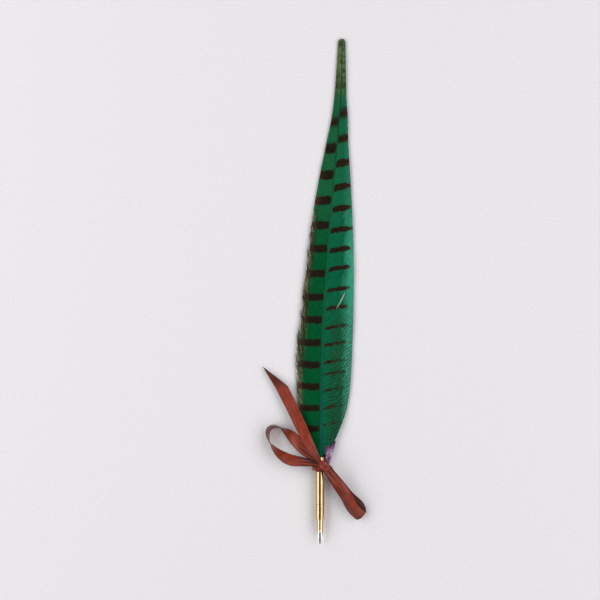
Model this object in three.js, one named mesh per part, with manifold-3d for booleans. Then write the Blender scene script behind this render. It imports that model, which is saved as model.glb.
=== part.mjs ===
// A quill dip pen lying on a table: a barred tail feather glued into a gold-plated brass barrel, a
// front section that pulls off the barrel, a nib that pulls out of the section, and a satin bow.
// Millimetres. +Z is up, +Y runs from the nib towards the tip of the feather, +X is to the right.
import * as THREE from "three";
import { mergeVertices } from "three/addons/utils/BufferGeometryUtils.js";
import Module from "manifold-3d";

const wasm = await Module();
wasm.setup();

// Driving dimensions. Y is measured from the open rear rim of the barrel.
const BARREL_RADIUS = 2.65;
const BARREL_BORE = 2.2;
const BARREL_LENGTH = 28;
const AXIS_HEIGHT = 3.2; // the barrel's axis above the table
const FIT_GAP = 0.1; // radial room of a sliding fit
const SECTION_LENGTH = 9.2;
const SPIGOT_LENGTH = 8;
const NIB_VISIBLE = 14.8;
const NIB_INSERTED = 8.3;
const NIB_RADIUS = 2.05;
const NIB_THICKNESS = 0.22;
const QUILL_INSERTED = 18;
const QUILL_RADIUS = 1.5;
const FEATHER_LENGTH = 251.4; // from the barrel's rim to the feather's tip
const RIBBON_WIDTH = 7.2;
const RIBBON_THICKNESS = 0.4;
const ROUND_SEGMENTS = 24;

const SECTION_REAR = -BARREL_LENGTH - FIT_GAP;
const SECTION_FRONT = SECTION_REAR - SECTION_LENGTH;
const NIB_REAR = SECTION_FRONT + NIB_INSERTED;
const NIB_TIP = SECTION_FRONT - NIB_VISIBLE;

const MATERIALS = {
  gold: new THREE.MeshStandardMaterial({ color: 0xd2aa62, metalness: 1, roughness: 0.22 }),
  nibGold: new THREE.MeshStandardMaterial({ color: 0xe2c083, metalness: 1, roughness: 0.2 }),
  plug: new THREE.MeshStandardMaterial({ color: 0x2a2826, metalness: 0, roughness: 0.5 }),
  glue: new THREE.MeshStandardMaterial({ color: 0xe8e0c8, metalness: 0, roughness: 0.4 }),
  shaft: new THREE.MeshStandardMaterial({ color: 0x17564a, metalness: 0, roughness: 0.45 }),
  vane: new THREE.MeshStandardMaterial({ color: 0x07512f, metalness: 0, roughness: 0.7 }),
  down: new THREE.MeshStandardMaterial({ color: 0x7b4477, metalness: 0, roughness: 0.9 }),
  ribbon: new THREE.MeshStandardMaterial({ color: 0x85392a, metalness: 0, roughness: 0.4 }),
};

// ---- Helpers -------------------------------------------------------------------------------

// A smooth function of one number through [at, value] pairs: cubic Hermite stretches.
function profile(...pairs) {
  const slopes = pairs.map((_, i) => {
    const before = pairs[Math.max(i - 1, 0)];
    const after = pairs[Math.min(i + 1, pairs.length - 1)];
    return (after[1] - before[1]) / (after[0] - before[0]);
  });
  return (at) => {
    let i = 0;
    while (i < pairs.length - 2 && at > pairs[i + 1][0]) i++;
    const [x0, y0] = pairs[i];
    const [x1, y1] = pairs[i + 1];
    const step = x1 - x0;
    const t = THREE.MathUtils.clamp((at - x0) / step, 0, 1);
    const t2 = t * t;
    const t3 = t2 * t;
    return (
      (2 * t3 - 3 * t2 + 1) * y0 +
      (t3 - 2 * t2 + t) * step * slopes[i] +
      (3 * t2 - 2 * t3) * y1 +
      (t3 - t2) * step * slopes[i + 1]
    );
  };
}

// Moves every vertex of a closed geometry to place(x, y, z), an array of three numbers.
function mapped(geometry, place) {
  const position = geometry.attributes.position;
  for (let i = 0; i < position.count; i++) {
    position.setXYZ(i, ...place(position.getX(i), position.getY(i), position.getZ(i)));
  }
  geometry.computeVertexNormals();
  return geometry;
}

// A box of unit size, from 0 to 1 each way, moved by place(u, v, w).
function mappedBox(across, along, place) {
  const box = new THREE.BoxGeometry(1, 1, 1, across, along, 1);
  return mapped(box, (x, y, z) => place(x + 0.5, y + 0.5, z + 0.5));
}

// A round of [radius, y] pairs about the barrel's axis. The profile closes on itself, and runs so
// that the material is on the left of its travel when radius is drawn to the right and y up.
function turned(...profilePoints) {
  const closed = [...profilePoints, profilePoints[0]];
  const points = closed.map(([radius, y]) => new THREE.Vector2(radius, y));
  return new THREE.LatheGeometry(points, ROUND_SEGMENTS);
}

function solidOf(geometry) {
  const bare = geometry.clone();
  bare.deleteAttribute("normal");
  bare.deleteAttribute("uv");
  const merged = mergeVertices(bare, 1e-4);
  return new wasm.Manifold(
    new wasm.Mesh({
      numProp: 3,
      vertProperties: merged.attributes.position.array,
      triVerts: new Uint32Array(merged.index.array),
    }),
  );
}

function cut(geometry, ...tools) {
  const solid = tools.reduce((left, tool) => left.subtract(solidOf(tool)), solidOf(geometry));
  const mesh = solid.getMesh();
  const result = new THREE.BufferGeometry();
  result.setAttribute("position", new THREE.BufferAttribute(mesh.vertProperties, 3));
  result.setIndex(new THREE.BufferAttribute(mesh.triVerts, 1));
  result.computeVertexNormals();
  return result;
}

const pen = new THREE.Group();
const pieces = new THREE.Group();
const onAxis = new THREE.Group(); // what is turned about the barrel's axis
onAxis.position.z = AXIS_HEIGHT;
pieces.add(onAxis);
pen.add(pieces);

function addPiece(parent, name, geometry, material) {
  const mesh = new THREE.Mesh(geometry, material);
  mesh.name = name;
  parent.add(mesh);
}

// ---- Barrel and front section ----------------------------------------------------------------

const RIM_BEVEL = 0.14;

function barrelTube() {
  return turned(
    [BARREL_BORE, -BARREL_LENGTH],
    [BARREL_RADIUS - RIM_BEVEL, -BARREL_LENGTH],
    [BARREL_RADIUS, -BARREL_LENGTH + RIM_BEVEL],
    [BARREL_RADIUS, -RIM_BEVEL],
    [BARREL_RADIUS - RIM_BEVEL, 0],
    [BARREL_BORE, 0],
  );
}

const SPIGOT_RADIUS = BARREL_BORE - FIT_GAP;
const SPIGOT_BORE = 1.5;
const SOCKET_RADIUS = NIB_RADIUS + FIT_GAP;
const SOCKET_FLOOR = NIB_REAR + 0.2;

// The collar that holds the nib: a socket at the front, and a spigot that enters the barrel.
function frontSection() {
  return turned(
    [SOCKET_RADIUS, SECTION_FRONT],
    [BARREL_RADIUS - RIM_BEVEL, SECTION_FRONT],
    [BARREL_RADIUS, SECTION_FRONT + RIM_BEVEL],
    [BARREL_RADIUS, SECTION_REAR - RIM_BEVEL],
    [BARREL_RADIUS - RIM_BEVEL, SECTION_REAR],
    [SPIGOT_RADIUS, SECTION_REAR],
    [SPIGOT_RADIUS, SECTION_REAR + SPIGOT_LENGTH],
    [SPIGOT_BORE, SECTION_REAR + SPIGOT_LENGTH],
    [SPIGOT_BORE, SOCKET_FLOOR],
    [SOCKET_RADIUS, SOCKET_FLOOR],
  );
}

// The plug in the middle of the socket that the nib's shank wraps round.
function nibPlug() {
  const plugRadius = NIB_RADIUS - NIB_THICKNESS - FIT_GAP;
  const tailRadius = SPIGOT_BORE - FIT_GAP;
  const tail = 5;
  const points = [
    [0, SECTION_FRONT + 0.5],
    [plugRadius - 0.4, SECTION_FRONT + 0.5],
    [plugRadius, SECTION_FRONT + 0.9],
    [plugRadius, SOCKET_FLOOR - FIT_GAP],
    [tailRadius, SOCKET_FLOOR - FIT_GAP],
    [tailRadius, SOCKET_FLOOR + tail],
    [0, SOCKET_FLOOR + tail],
  ].map(([radius, y]) => new THREE.Vector2(radius, y));
  return new THREE.LatheGeometry(points, ROUND_SEGMENTS);
}

// ---- Nib -----------------------------------------------------------------------------------

const BREATHER_Y = SECTION_FRONT - 7.2;
const BREATHER_RADIUS = 0.55;
const SLIT_WIDTH = 0.12;
const SHANK_HALF_ANGLE = THREE.MathUtils.degToRad(98);

// Half of the nib's flattened width, its radius of curvature, and the height of its crown.
const nibHalfWidth = profile(
  [NIB_TIP, 0.2],
  [NIB_TIP + 1.2, 0.42],
  [NIB_TIP + 4.2, 1.15],
  [NIB_TIP + 7, 2.15],
  [NIB_TIP + 9, 3.05],
  [NIB_TIP + 11, NIB_RADIUS * SHANK_HALF_ANGLE],
  [SECTION_FRONT, NIB_RADIUS * SHANK_HALF_ANGLE],
);
const nibCrown = profile(
  [NIB_TIP, 0.75],
  [NIB_TIP + 4.2, 1.25],
  [NIB_TIP + 9, 1.85],
  [SECTION_FRONT, NIB_RADIUS],
  [NIB_REAR, NIB_RADIUS],
);

function nib() {
  const shell = mappedBox(10, 34, (u, v, w) => {
    const y = THREE.MathUtils.lerp(NIB_TIP, NIB_REAR, v ** 1.3);
    const half = y > SECTION_FRONT ? NIB_RADIUS * SHANK_HALF_ANGLE : nibHalfWidth(y);
    const angle = ((u * 2 - 1) * half) / NIB_RADIUS;
    const radius = NIB_RADIUS - (1 - w) * NIB_THICKNESS;
    const drop = NIB_RADIUS - nibCrown(y);
    return [radius * Math.sin(angle), y, radius * Math.cos(angle) - drop];
  });
  const slitLength = BREATHER_Y - NIB_TIP + 2;
  const slit = new THREE.BoxGeometry(SLIT_WIDTH, slitLength, 4 * NIB_RADIUS);
  slit.translate(0, BREATHER_Y - slitLength / 2, 0);
  const breather = new THREE.CylinderGeometry(BREATHER_RADIUS, BREATHER_RADIUS, 4, 12);
  breather.rotateX(Math.PI / 2).translate(0, BREATHER_Y, 2.4);
  return cut(shell, slit, breather);
}

// ---- Feather -------------------------------------------------------------------------------

const SHAFT_END = FEATHER_LENGTH - 1.4;
const VANE_START = 1;
const VANE_GAP = 0.12;
const VANE_THICKNESS = 0.45;
const MARGIN_HEIGHT = 0.7; // underside of the vane's margin above the table
const TIP_ROUNDING = 3;

const shaftX = profile(
  [-QUILL_INSERTED, 0],
  [-2, 0],
  [6, 0.5],
  [34, 0.75],
  [69, 1.5],
  [97, 3.0],
  [124, 4.9],
  [150, 6.9],
  [175, 9.1],
  [201, 11.4],
  [217, 12.5],
  [238, 13.2],
  [FEATHER_LENGTH, 13.2],
);
const shaftZ = profile(
  [-QUILL_INSERTED, AXIS_HEIGHT],
  [0, AXIS_HEIGHT],
  [60, 3.7],
  [120, 3.9],
  [190, 2.7],
  [FEATHER_LENGTH, 0.9],
);
const shaftRadius = profile(
  [-QUILL_INSERTED, 1.15],
  [-QUILL_INSERTED + 5, QUILL_RADIUS],
  [-1, QUILL_RADIUS],
  [5, 1.05],
  [20, 0.9],
  [60, 0.8],
  [150, 0.56],
  [220, 0.34],
  [SHAFT_END, 0.2],
);
const leftWidth = profile(
  [VANE_START, 2.0],
  [7, 4.3],
  [15, 8.8],
  [30, 13.6],
  [58, 16.2],
  [87, 14.3],
  [130, 12.1],
  [160, 9.7],
  [188, 6.6],
  [203, 4.7],
  [218, 3.8],
  [238, 3.0],
  [FEATHER_LENGTH, 2.3],
);
const rightWidth = profile(
  [VANE_START, 2.0],
  [7, 4.6],
  [12, 8.7],
  [22, 13.3],
  [30, 15.7],
  [44, 17.5],
  [72, 18.2],
  [101, 17.2],
  [130, 14.9],
  [159, 11.2],
  [188, 6.9],
  [203, 5.2],
  [217, 3.5],
  [238, 2.3],
  [FEATHER_LENGTH, 2.1],
);

// The quill and the rachis are one tapering shaft, hollow where it is in the barrel.
function featherShaft() {
  const rod = mapped(new THREE.CylinderGeometry(1, 1, 1, 10, 44), (x, y, z) => {
    const at = THREE.MathUtils.lerp(-QUILL_INSERTED, SHAFT_END, y + 0.5);
    return [shaftX(at) + x * shaftRadius(at), at, shaftZ(at) + z * shaftRadius(at)];
  });
  const hollowLength = QUILL_INSERTED - 2;
  const hollow = new THREE.CylinderGeometry(0.8, 0.8, hollowLength + 2, 10);
  hollow.translate(0, -QUILL_INSERTED + hollowLength / 2 - 1, AXIS_HEIGHT);
  return cut(rod, hollow);
}

// One vane: a thin arched blade from the shaft to the margin. side is -1 on the left, 1 on the right.
function vane(side, width) {
  return mappedBox(5, 42, (u, v, w) => {
    const y = THREE.MathUtils.lerp(VANE_START, FEATHER_LENGTH, v);
    const toTip = Math.min(1, (FEATHER_LENGTH - y) / TIP_ROUNDING);
    const rounding = Math.sqrt(1 - (1 - toTip) ** 2) * 0.85 + 0.15;
    const share = side > 0 ? u : 1 - u;
    const root = shaftRadius(Math.min(y, SHAFT_END)) + VANE_GAP;
    const margin = Math.max(width(y) * rounding, root + 0.3);
    const x = shaftX(y) + side * THREE.MathUtils.lerp(root, margin, share);
    const crown = shaftZ(y) - VANE_THICKNESS / 2;
    const edge = Math.min(MARGIN_HEIGHT, crown);
    const underside = THREE.MathUtils.lerp(crown, edge, share ** 2);
    return [x, y, underside + w * VANE_THICKNESS];
  });
}

// The soft barbs at the foot of the vane, a tuft that hangs down beside the barrel's rim.
const DOWN_INNER = profile([-5, 3.5], [1, 3.5], [7, 5.6], [11, 8.4]);
const DOWN_OUTER = profile([-5, 4.6], [-1, 6.0], [6, 7.5], [11, 9.2]);

function down(side) {
  return mappedBox(2, 12, (u, v, w) => {
    const y = THREE.MathUtils.lerp(-5, 11, v);
    const share = side > 0 ? u : 1 - u;
    const x = side * THREE.MathUtils.lerp(DOWN_INNER(y), DOWN_OUTER(y), share);
    return [x, y, 0.6 + w * 1.6];
  });
}

// The hot-melt glue between the quill and the barrel's bore.
function quillGlue() {
  return turned(
    [QUILL_RADIUS + 1.5 * FIT_GAP, -12],
    [BARREL_BORE - FIT_GAP, -12],
    [BARREL_BORE - FIT_GAP, -0.6],
    [QUILL_RADIUS + 1.5 * FIT_GAP, -0.6],
  );
}

// ---- Ribbon --------------------------------------------------------------------------------

const WRAP_FRONT = -8.6;
const WRAP_REAR = -2.4;
const KNOT = new THREE.Vector3(1.9, -4.9, 8.1);
const KNOT_SIZE = new THREE.Vector3(3.5, 2.5, 1.5);
const KNOT_TURN = THREE.MathUtils.degToRad(-41); // its long way about Z

// The turn of ribbon round the barrel, under the knot.
function ribbonWrap() {
  const inner = BARREL_RADIUS + FIT_GAP;
  return turned(
    [inner, WRAP_FRONT],
    [AXIS_HEIGHT, WRAP_FRONT],
    [AXIS_HEIGHT, WRAP_REAR],
    [inner, WRAP_REAR],
  );
}

function ribbonKnot() {
  const ball = new THREE.SphereGeometry(1, 14, 9).rotateX(Math.PI / 2);
  return ball.scale(...KNOT_SIZE).rotateZ(KNOT_TURN).translate(...KNOT);
}

// A stretch of ribbon along a route of hand-placed [x, y, z] points. across(t, along) gives the
// direction of its width, and gathered(t) the share of its full width.
function ribbonStretch(route, across, gathered, steps) {
  const curve = new THREE.CatmullRomCurve3(route.map((point) => new THREE.Vector3(...point)));
  return mappedBox(2, steps, (u, v, w) => {
    const at = curve.getPointAt(v);
    const along = curve.getTangentAt(v);
    const width = across(v, along);
    width.addScaledVector(along, -width.dot(along)).normalize();
    const face = new THREE.Vector3().crossVectors(width, along);
    at.addScaledVector(width, (u - 0.5) * RIBBON_WIDTH * gathered(v));
    at.addScaledVector(face, (w - 0.5) * RIBBON_THICKNESS);
    return at.toArray();
  });
}

// Leans the ribbon's width from flat (0 degrees) to upright (90) about its line of travel.
function leaning(lean) {
  return (t, along) => {
    const angle = THREE.MathUtils.degToRad(lean(t));
    const side = new THREE.Vector3(along.y, -along.x, 0).normalize();
    return side.multiplyScalar(Math.cos(angle)).setZ(Math.sin(angle));
  };
}

const LEFT_LOOP = [
  [-1.9, -3.8, 8.0],
  [-5.6, -3.1, 7.1],
  [-11, -2.5, 5.7],
  [-18, -1.4, 4.6],
  [-24, 1.9, 4.1],
  [-28.7, 6.5, 3.9],
  [-31.4, 11.8, 3.9],
  [-31.2, 16.3, 3.9],
  [-28.4, 18.5, 3.9],
  [-24.4, 18.0, 4.0],
  [-19.6, 15.0, 3.9],
  [-15.4, 10.8, 4.2],
  [-10.6, 5.6, 4.9],
  [-5.6, 1.2, 5.5],
  [-1.8, -1.8, 6.7],
];
const RIGHT_LOOP = [
  [4.9, -7.8, 8.3],
  [6.9, -10.6, 7.9],
  [9.8, -14.6, 7.2],
  [12.8, -18.9, 6.6],
  [16.2, -24.0, 6.2],
  [19.0, -29.6, 5.7],
  [22.5, -33.4, 4.6],
  [24.4, -34.9, 3.1],
  [24.4, -33.8, 1.7],
  [23.0, -29.6, 1.4],
  [16.8, -23.8, 1.6],
  [12.0, -17.6, 2.3],
  [9.0, -12.4, 3.8],
  [6.8, -8.2, 5.6],
];
const LEFT_TAIL = [
  [-0.3, -2.2, 9.3],
  [-2.6, 1.6, 8.6],
  [-6.8, 9.0, 7.4],
  [-12.0, 19.8, 5.6],
  [-18.2, 32.6, 3.6],
  [-23.6, 43.0, 2.4],
  [-29.4, 52.6, 1.6],
];
const RIGHT_TAIL = [
  [4.0, -4.4, 0.3],
  [3.8, 2.0, 0.3],
  [3.8, 10.0, 0.3],
  [5.6, 22.0, 0.3],
  [8.2, 34.0, 0.3],
  [9.4, 41.0, 0.3],
];
const TAIL_CUT_ANGLE = THREE.MathUtils.degToRad(-37);
const TAIL_CUT_AT = [-25.8, 47.7, 2]; // a point on the line of the cut
const GATHER = 0.42; // the share of its width that the ribbon has where it leaves the knot

function leftLoop() {
  const lean = profile([0, 180], [0.1, 158], [0.22, 152], [0.32, 122], [0.42, 88], [0.5, 68],
    [0.56, 74], [0.62, 92], [0.68, 126], [0.76, 156], [0.88, 172], [1, 180]);
  const gathered = profile([0, GATHER], [0.12, 1], [0.5, 1], [0.86, 1], [1, GATHER]);
  return ribbonStretch(LEFT_LOOP, leaning(lean), gathered, 44);
}

function rightLoop() {
  const gathered = profile([0, GATHER], [0.16, 1], [0.5, 1], [0.84, 1], [1, GATHER]);
  const turn = profile([0, 36], [0.35, 34], [0.48, 41], [0.56, 43], [0.7, 38], [1, 34]);
  const across = (t) => {
    const angle = THREE.MathUtils.degToRad(turn(t));
    return new THREE.Vector3(Math.cos(angle), Math.sin(angle), 0);
  };
  return ribbonStretch(RIGHT_LOOP, across, gathered, 44);
}

// A tail ends in a long slanting cut, which leaves a point on its left-hand edge.
function leftTail() {
  const gathered = profile([0, GATHER], [0.24, 0.86], [0.5, 1], [1, 1]);
  const strip = ribbonStretch(LEFT_TAIL, leaning(() => 0), gathered, 18);
  const beyond = new THREE.BoxGeometry(60, 30, 20);
  beyond.translate(0, 15, 0).rotateZ(TAIL_CUT_ANGLE).translate(...TAIL_CUT_AT);
  return cut(strip, beyond);
}

// The second tail lies flat on the table, under the down and the right vane.
function rightTail() {
  const gathered = profile([0, GATHER], [0.2, 0.95], [1, 1]);
  return ribbonStretch(RIGHT_TAIL, leaning(() => 0), gathered, 14);
}

// ---- Assembly ------------------------------------------------------------------------------

addPiece(onAxis, "barrel_tube", barrelTube(), MATERIALS.gold);
addPiece(onAxis, "front_section", frontSection(), MATERIALS.gold);
addPiece(onAxis, "nib_plug", nibPlug(), MATERIALS.plug);
addPiece(onAxis, "nib", nib(), MATERIALS.nibGold);
addPiece(onAxis, "quill_glue", quillGlue(), MATERIALS.glue);
addPiece(pieces, "feather_shaft", featherShaft(), MATERIALS.shaft);
addPiece(pieces, "vane_left", vane(-1, leftWidth), MATERIALS.vane);
addPiece(pieces, "vane_right", vane(1, rightWidth), MATERIALS.vane);
addPiece(pieces, "down_left", down(-1), MATERIALS.down);
addPiece(pieces, "down_right", down(1), MATERIALS.down);
addPiece(onAxis, "ribbon_wrap", ribbonWrap(), MATERIALS.ribbon);
addPiece(pieces, "ribbon_knot", ribbonKnot(), MATERIALS.ribbon);

// The origin is under the middle of the pen, without the ribbon's loose loops and tails.
const bounds = new THREE.Box3().setFromObject(pieces);
const middle = bounds.getCenter(new THREE.Vector3());
pieces.position.set(-middle.x, -middle.y, -bounds.min.z);

addPiece(pieces, "ribbon_loop_left", leftLoop(), MATERIALS.ribbon);
addPiece(pieces, "ribbon_loop_right", rightLoop(), MATERIALS.ribbon);
addPiece(pieces, "ribbon_tail_left", leftTail(), MATERIALS.ribbon);
addPiece(pieces, "ribbon_tail_right", rightTail(), MATERIALS.ribbon);

export default pen;
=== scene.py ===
"""Looks for a quill dip pen: a barred, dyed tail feather in a gold-plated barrel, with a satin bow.

Lengths in the tables below are in millimetres from the open rear rim of the barrel, on its axis:
x to the right, y towards the feather's tip, z up from the table.
"""
import math

import bmesh
import bpy
import numpy as np
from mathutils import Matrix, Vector


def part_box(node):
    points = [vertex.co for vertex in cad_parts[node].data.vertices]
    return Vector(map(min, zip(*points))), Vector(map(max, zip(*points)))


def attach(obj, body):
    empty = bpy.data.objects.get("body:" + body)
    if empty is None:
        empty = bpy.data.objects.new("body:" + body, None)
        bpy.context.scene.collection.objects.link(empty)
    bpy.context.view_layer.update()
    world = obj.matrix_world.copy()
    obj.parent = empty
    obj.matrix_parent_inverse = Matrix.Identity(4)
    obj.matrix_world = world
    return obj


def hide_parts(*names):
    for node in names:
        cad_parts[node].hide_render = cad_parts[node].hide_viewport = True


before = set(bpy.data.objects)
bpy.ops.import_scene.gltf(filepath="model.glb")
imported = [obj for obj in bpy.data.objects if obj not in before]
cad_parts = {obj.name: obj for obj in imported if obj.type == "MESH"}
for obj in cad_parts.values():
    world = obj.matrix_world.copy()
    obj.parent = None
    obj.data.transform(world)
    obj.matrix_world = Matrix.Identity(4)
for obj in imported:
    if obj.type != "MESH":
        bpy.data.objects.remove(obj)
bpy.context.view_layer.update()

MM = 0.001
barrel_low, barrel_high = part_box("barrel_tube")
RIM = np.array([(barrel_low[0] + barrel_high[0]) / 2, barrel_high[1], 0.0])
BARREL_RADIUS = (barrel_high[0] - barrel_low[0]) / 2 / MM
AXIS_HEIGHT = (barrel_low[2] + barrel_high[2]) / 2 / MM
BARREL_LENGTH = (barrel_high[1] - barrel_low[1]) / MM
SECTION_FRONT = (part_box("front_section")[0][1] - RIM[1]) / MM
NIB_TIP = (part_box("nib")[0][1] - RIM[1]) / MM
NIB_REAR = (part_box("nib")[1][1] - RIM[1]) / MM
FEATHER_LENGTH = (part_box("vane_right")[1][1] - RIM[1]) / MM
ROOT = "barrel_and_feather"
SEGMENTS = 72  # round a turned piece
random = np.random.default_rng(7)


# ---- Small tools ---------------------------------------------------------------------------


def profile(*pairs):
    """A smooth function through (at, value) pairs: cubic Hermite stretches, flat outside."""
    at, value = np.array(pairs, float).T
    before = np.maximum(np.arange(len(at)) - 1, 0)
    after = np.minimum(np.arange(len(at)) + 1, len(at) - 1)
    slope = (value[after] - value[before]) / (at[after] - at[before])

    def read(x):
        x = np.clip(np.asarray(x, float), at[0], at[-1])
        i = np.clip(np.searchsorted(at, x, side="right") - 1, 0, len(at) - 2)
        step = at[i + 1] - at[i]
        t = (x - at[i]) / step
        smooth = t * t * (3 - 2 * t)
        bend = t * (1 - t) * ((1 - t) * slope[i] - t * slope[i + 1]) * step
        return value[i] + (value[i + 1] - value[i]) * smooth + bend

    return read


def ease(low, high, x):
    """0 below low, 1 above high, smooth between."""
    t = np.clip((np.asarray(x, float) - low) / (high - low), 0, 1)
    return t * t * (3 - 2 * t)


def in_frame(points):
    """Points in the tables' millimetres as metres in the part's frame."""
    return np.asarray(points, float) * MM + RIM


def piece(name, points, faces, material, body=ROOT, attributes=None):
    """A smooth-shaded mesh from millimetre points, riding on a CAD body."""
    mesh = bpy.data.meshes.new(name)
    mesh.from_pydata(in_frame(points).tolist(), [], [list(map(int, f)) for f in faces])
    for key, values in (attributes or {}).items():
        layer = mesh.attributes.new(key, "FLOAT", "POINT")
        layer.data.foreach_set("value", np.asarray(values, np.float32).ravel())
    work = bmesh.new()
    work.from_mesh(mesh)
    bmesh.ops.recalc_face_normals(work, faces=work.faces)
    work.to_mesh(mesh)
    work.free()
    mesh.polygons.foreach_set("use_smooth", [True] * len(mesh.polygons))
    mesh.materials.append(material)
    item = bpy.data.objects.new(name, mesh)
    bpy.context.scene.collection.objects.link(item)
    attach(item, body)
    return item


def crisp(item, degrees=35):
    """Keeps edges sharper than this angle crisp under smooth shading."""
    item.data.set_sharp_from_angle(angle=math.radians(degrees))


class Sheets:
    """Collects closed thin patches, each a rows x columns grid of upper points."""

    def __init__(self):
        self.points = []
        self.faces = []
        self.values = {}
        self.count = 0

    def add(self, upper, lower, **values):
        """One patch, with values for its points; reverse is 0 on its upper side, 1 below."""
        rows, columns = upper.shape[:2]
        top = np.arange(rows * columns).reshape(rows, columns) + self.count
        under = top + rows * columns
        quads = []
        for grid in (top, under[:, ::-1]):
            corners = (grid[:-1, :-1], grid[1:, :-1], grid[1:, 1:], grid[:-1, 1:])
            quads.append(np.stack(corners, -1).reshape(-1, 4))
        ring = np.concatenate([top[0, :-1], top[:-1, -1], top[-1, :0:-1], top[:0:-1, 0]])
        below = ring + rows * columns
        quads.append(np.stack([ring, np.roll(ring, -1), np.roll(below, -1), below], -1))
        self.faces.extend(np.concatenate(quads))
        self.points.append(np.concatenate([upper.reshape(-1, 3), lower.reshape(-1, 3)]))
        values["reverse"] = np.array([[0.0]])
        for key, value in values.items():
            flat = np.broadcast_to(value, (rows, columns)).ravel()
            back = flat + 1 if key == "reverse" else flat
            self.values.setdefault(key, []).append(np.concatenate([flat, back]))
        self.count += 2 * rows * columns

    def make(self, name, material, body=ROOT):
        values = {key: np.concatenate(parts) for key, parts in self.values.items()}
        return piece(name, np.concatenate(self.points), self.faces, material, body, values)


def turned(name, outline, material, body):
    """A round with a bore, about the barrel's axis, from a closed outline of (radius, y) pairs."""
    radius, y = np.array(outline, float).T
    angle = np.linspace(0, 2 * math.pi, SEGMENTS, endpoint=False)[:, None]
    grid = np.stack([radius * np.cos(angle), np.broadcast_to(y, (SEGMENTS, len(y))),
                     AXIS_HEIGHT + radius * np.sin(angle)], -1)
    count = len(outline)
    index = np.arange(SEGMENTS * count).reshape(SEGMENTS, count)
    faces = []
    for here, there in zip(index, np.roll(index, -1, axis=0)):
        for j in range(count):
            faces.append((here[j], there[j], there[(j + 1) % count], here[(j + 1) % count]))
    item = piece(name, grid.reshape(-1, 3), faces, material, body)
    crisp(item)
    return item


def tube_faces(rows, columns, first=0):
    """The sides and the two end caps of a tube of rows x columns points."""
    index = np.arange(rows * columns).reshape(rows, columns) + first
    beside = np.roll(index, -1, axis=1)
    sides = [(index[i, j], index[i + 1, j], beside[i + 1, j], beside[i, j])
             for i in range(rows - 1) for j in range(columns)]
    return sides + [index[0], index[-1]]


def spline(route, steps):
    """Evenly spaced points on a Catmull-Rom curve through the route's points."""
    route = np.array(route, float)
    padded = np.vstack([2 * route[0] - route[1], route, 2 * route[-1] - route[-2]])
    fine = []
    for i in range(1, len(padded) - 2):
        a, b, c, d = padded[i - 1 : i + 3]
        t = np.linspace(0, 1, 24, endpoint=False)[:, None]
        fine.append(0.5 * (2 * b + (c - a) * t + (2 * a - 5 * b + 4 * c - d) * t**2
                           + (3 * b - a - 3 * c + d) * t**3))
    fine = np.vstack(fine + [route[-1:]])
    length = np.concatenate([[0], np.cumsum(np.linalg.norm(np.diff(fine, axis=0), axis=1))])
    at = np.linspace(0, length[-1], steps)
    return np.stack([np.interp(at, length, fine[:, k]) for k in range(3)], -1)


def tangents(points):
    """The unit direction of a line of points at each of them."""
    along = np.gradient(points, axis=0)
    return along / np.linalg.norm(along, axis=1, keepdims=True)


# ---- Materials -----------------------------------------------------------------------------


def srgb(red, green, blue):
    """A colour from 0 to 255 display values, as linear RGBA."""
    values = [c / 255 for c in (red, green, blue)]
    linear = [c / 12.92 if c <= 0.04045 else ((c + 0.055) / 1.055) ** 2.4 for c in values]
    return (*linear, 1.0)


class Paint:
    """One material and short ways to add its nodes."""

    def __init__(self, name):
        self.material = bpy.data.materials.new(name)
        self.material.use_nodes = True
        self.tree = self.material.node_tree
        self.tree.nodes.clear()

    def node(self, kind, inputs, **settings):
        made = self.tree.nodes.new("ShaderNode" + kind)
        for key, value in settings.items():
            setattr(made, key, value)
        for key, value in inputs.items():
            if isinstance(value, bpy.types.NodeSocket):
                self.tree.links.new(value, made.inputs[key])
            else:
                made.inputs[key].default_value = value
        return made

    def maths(self, operation, a, b=0.0):
        return self.node("Math", {0: a, 1: b}, operation=operation).outputs[0]

    def plus(self, a, b):
        return self.maths("ADD", a, b)

    def times(self, a, b):
        return self.maths("MULTIPLY", a, b)

    def step(self, value, low, high, to_low=0.0, to_high=1.0):
        inputs = {0: value, 1: low, 2: high, 3: to_low, 4: to_high}
        return self.node("MapRange", inputs, interpolation_type="SMOOTHSTEP").outputs[0]

    def value(self, name):
        return self.node("Attribute", {}, attribute_name=name).outputs["Fac"]

    def place(self):
        return self.node("TexCoord", {}).outputs["Object"]

    def vector(self, x, y, z=0.0):
        return self.node("CombineXYZ", {0: x, 1: y, 2: z}).outputs[0]

    def noise(self, vector, scale, detail=3.0, roughness=0.55):
        inputs = {"Vector": vector, "Scale": scale, "Detail": detail, "Roughness": roughness}
        return self.node("TexNoise", inputs).outputs[0]

    def stretched(self, x, y, z):
        """The object's coordinates, each axis scaled by its own factor."""
        return self.node("Mapping", {"Vector": self.place(), "Scale": (x, y, z)}).outputs[0]

    def mix(self, factor, a, b):
        return self.node("Mix", {0: factor, 6: a, 7: b}, data_type="RGBA").outputs[2]

    def bump(self, height, strength, distance):
        inputs = {"Height": height, "Strength": strength, "Distance": distance}
        return self.node("Bump", inputs).outputs[0]

    def finish(self, **inputs):
        """The shader: constants are set on its own sockets."""
        named = {key.replace("_", " "): value for key, value in inputs.items()}
        shader = self.node("BsdfPrincipled", named)
        self.node("OutputMaterial", {"Surface": shader.outputs[0]})
        return self.material


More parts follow.
